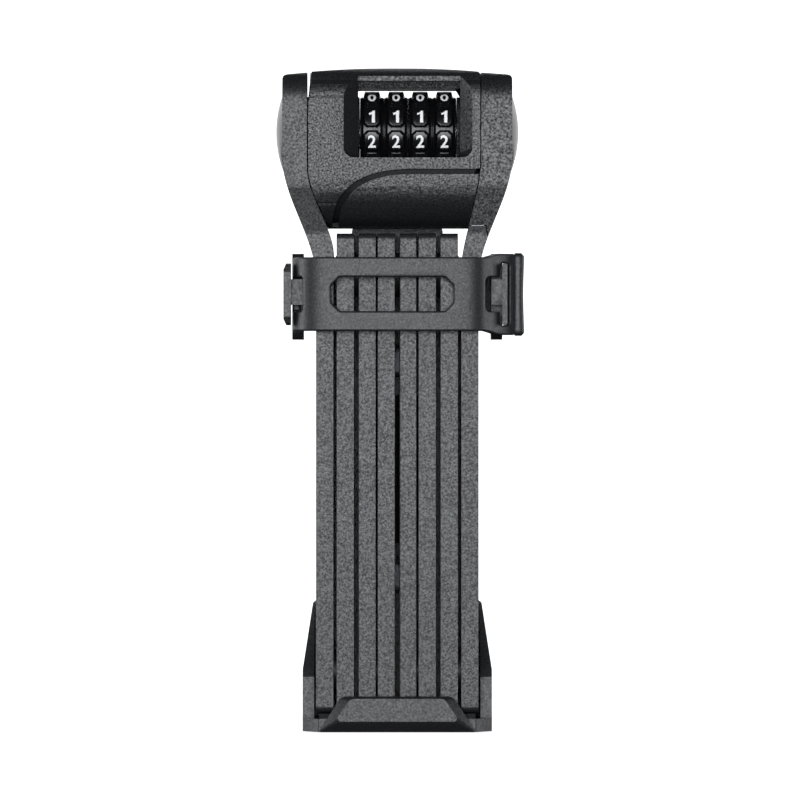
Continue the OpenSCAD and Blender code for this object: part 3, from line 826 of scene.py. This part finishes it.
def wheel_radius(x, angle, half_width, top):
    """Radius of a number wheel at x across it and at an angle, with its ten raised pads."""
    step = math.radians(DIGIT_STEP)
    off = (angle - math.radians(FIRST_DIGIT_ANGLE) + step / 2) % step - step / 2
    u = abs(x)
    v = abs(off) * top
    outside = max(u - PAD_HALF[0], v - PAD_HALF[1], (u + v - PAD_CUT) / math.sqrt(2))
    rise = min(1.0, max(0.0, -outside / PAD_EDGE))
    rise = rise * rise * (3 - 2 * rise)
    if u < PAD_HALF[0] + PAD_MARGIN:
        base = FLOOR_RADIUS - FLOOR_DIP * min(1, u / PAD_HALF[0])
    else:
        base = SHOULDER_RADIUS + RIDGE * math.cos((u - half_width) * 2 * math.pi / RIDGE_PITCH)
        base -= RIM_DROP * max(0.0, (u - half_width + RIM_WIDTH) / RIM_WIDTH)
    return base + (top - base) * rise


def add_wheel(number):
    """One ribbed number wheel; returns its middle across x and its radius."""
    node = f"number_wheel_{number}"
    low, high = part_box(node)
    centre_x = (low.x + high.x) / 2
    half_width = (high.x - low.x) / 2 + WHEEL_SPREAD
    top = (high.z - low.z) / 2
    axis = wheel_axis()
    around = WHEEL_STEPS_AROUND
    across = WHEEL_STEPS_ACROSS
    bm = bmesh.new()
    loops = []
    for i in range(around):
        angle = 2 * math.pi * i / around
        out = Vector((0, -math.cos(angle), math.sin(angle)))
        profile = [(-half_width, WHEEL_BORE)]
        for k in range(across + 1):
            x = -half_width + 2 * half_width * k / across
            profile.append((x, wheel_radius(x, angle, half_width, top)))
        profile.append((half_width, WHEEL_BORE))
        places = [Vector((centre_x + x, axis.y, axis.z)) + out * radius for x, radius in profile]
        loops.append([bm.verts.new(place) for place in places])
    for i in range(around):
        a, b = loops[i], loops[(i + 1) % around]
        for k in range(len(a)):
            n = (k + 1) % len(a)
            bm.faces.new((a[k], a[n], b[n], b[k]))
    wheel = mesh_object(node + "_ribbed", bm, 50)
    place_piece(wheel, f"dial_{number}", "wheel_plastic", node)
    return centre_x, top


def numeral_outline(digit):
    """A bold digit as a flat mesh, centred, with its height set to the numerals' height."""
    if digit == 1:
        bm = bmesh.new()
        bm.faces.new([bm.verts.new((x, y, 0)) for x, y in FLAGGED_ONE])
        bm.normal_update()
        bmesh.ops.triangulate(bm, faces=bm.faces[:])
        return fitted_numeral(bm, 1)
    data = bpy.data.curves.new("numeral", "FONT")
    data.body = str(digit)
    data.size = 1
    data.offset = FONT_BOLDNESS
    data.resolution_u = 5
    return fitted_numeral(curve_mesh(data), FONT_WIDTH)


def fitted_numeral(bm, widen):
    """Centres a flat digit and scales it to the numerals' height."""
    xs = [v.co.x for v in bm.verts]
    ys = [v.co.y for v in bm.verts]
    scale = NUMERAL_HEIGHT / (max(ys) - min(ys))
    for vert in bm.verts:
        vert.co.x = (vert.co.x - (max(xs) + min(xs)) / 2) * scale * widen
        vert.co.y = (vert.co.y - (max(ys) + min(ys)) / 2) * scale
    return bm


def add_numerals(number, centre_x, top):
    """The wheel's ten painted digits, wrapped on its pads."""
    axis = wheel_axis()
    whole = bmesh.new()
    for digit in range(DIGITS):
        flat = numeral_outline(digit)
        for i in range(1, NUMERAL_SLICES):
            level = Vector((0, NUMERAL_HEIGHT * (i / NUMERAL_SLICES - 0.5), 0))
            everything = flat.verts[:] + flat.edges[:] + flat.faces[:]
            bmesh.ops.bisect_plane(flat, geom=everything, plane_co=level, plane_no=(0, 1, 0), dist=1e-8)
        bmesh.ops.triangulate(flat, faces=flat.faces[:])
        flat.normal_update()
        bmesh.ops.solidify(flat, geom=flat.faces[:], thickness=NUMERAL_DEPTH)
        height = max(v.co.z for v in flat.verts)
        elevation = math.radians(FIRST_DIGIT_ANGLE - DIGIT_STEP * digit)
        for vert in flat.verts:
            angle = elevation + vert.co.y / top
            radius = top + NUMERAL_LIFT - (height - vert.co.z)
            y = axis.y - math.cos(angle) * radius
            z = axis.z + math.sin(angle) * radius
            vert.co = (centre_x + vert.co.x, y, z)
        data = bpy.data.meshes.new("digit")
        flat.to_mesh(data)
        flat.free()
        whole.from_mesh(data)
        bpy.data.meshes.remove(data)
    place_piece(mesh_object(f"numerals_{number}", whole, 30), f"dial_{number}", "numeral_paint")


# ---------- floor ----------

FLOOR_GAP = 0.4 * MM
FLOOR_FRONT = -6.0
FLOOR_HALF_WIDTH = 7
FLOOR_GLOW = 0.9
BEND_START = 1.8
BEND_RADIUS = 1.2
BEND_STEPS = 12
BACKDROP_Y = BEND_START + 1.0
BACKDROP_HALF_WIDTH = 5
BACKDROP_LOW = 1 * MM
BACKDROP_HIGH = 1.7
BACKDROP_GLOW = 0.95
SHEET_BLOTCH = 0.4
SHEET_TONES = ((0.88, 0.88, 0.88), (0.92, 0.92, 0.92))
SHEET_ROUGHNESS = 0.8


def stage_sheet(name, profile, half_width, glow):
    """A pale sheet swept across x, lit from within so that it stays white behind the object."""
    bm = bmesh.new()
    rows = [[bm.verts.new((x, y, z)) for x in (-half_width, half_width)] for y, z in profile]
    for a, b in zip(rows, rows[1:]):
        bm.faces.new((a[0], a[1], b[1], b[0]))
    sheet = mesh_object(name, bm, 80)
    n = Nodes(name)
    place = n.add("ShaderNodeTexCoord").outputs["Object"]
    broad = n.noise(place, SHEET_BLOTCH)
    n.join(n.two_tones(n.spread(broad, 0, 1), *SHEET_TONES), "Base Color")
    n.shader.inputs["Roughness"].default_value = SHEET_ROUGHNESS
    n.shader.inputs["Emission Color"].default_value = (1, 1, 1, 1)
    n.shader.inputs["Emission Strength"].default_value = glow
    sheet.data.materials.append(n.material)
    sheet.visible_diffuse = False
    return sheet


def add_stage():
    """A pale floor under the bracket that curves up, and a backdrop that shiny edges reflect."""
    level = cad_box[0].z - FLOOR_GAP
    curve = [(FLOOR_FRONT, level)]
    for i in range(BEND_STEPS + 1):
        angle = math.radians(90 * i / BEND_STEPS)
        y = BEND_START + BEND_RADIUS * math.sin(angle)
        z = level + BEND_RADIUS * (1 - math.cos(angle))
        curve.append((y, z))
    floor = stage_sheet("floor", curve, FLOOR_HALF_WIDTH, FLOOR_GLOW)
    floor.visible_glossy = False
    edges = [(BACKDROP_Y, level + BACKDROP_LOW), (BACKDROP_Y, level + BACKDROP_HIGH)]
    stage_sheet("backdrop", edges, BACKDROP_HALF_WIDTH, BACKDROP_GLOW)


# ---------- the whole ----------

add_camera()
add_lights()
add_world()
bpy.context.scene.view_settings.view_transform = "Standard"
dress_frame()
add_stage()

# the lines on the front shell: their heights and where they run across x
TOP_LINE = (109.5 * MM, -27 * MM, -15.6 * MM)
LOW_LINE = (78.5 * MM, -27 * MM, -16 * MM)
INNER_LINK_EDGE = 0.55 * MM
OUTER_LINK_EDGE = 0.8 * MM
REAR_SHELL_WIDENING = 0.25 * MM

for link in range(2, 8):
    moulded(f"link_{link}_jacket", "link_coating", edge=INNER_LINK_EDGE)
moulded("link_1_jacket", "link_coating", edge=OUTER_LINK_EDGE)
moulded("link_8_jacket", "link_coating", edge=OUTER_LINK_EDGE)
moulded("end_cap", "head_plastic", edge=OUTER_LINK_EDGE)
moulded("head_front_shell", "head_plastic", edge=0.45 * MM, lines=[TOP_LINE, LOW_LINE], groove=True)
moulded("head_rear_shell", "head_plastic", edge=0.45 * MM, widen=REAR_SHELL_WIDENING)
moulded("badge_panel", "head_plastic", edge=0.35 * MM)
moulded("holder_body", "bracket_plastic", edge=0.4 * MM)
moulded("head_core", "core_metal", edge=0.3 * MM)

grip_path = add_strap()
add_grip(grip_path)
add_frame_screws()
add_spring()
add_dome("left_dome", -1)
add_dome("right_dome", 1)

for wheel_number in range(1, 5):
    add_numerals(wheel_number, *add_wheel(wheel_number))
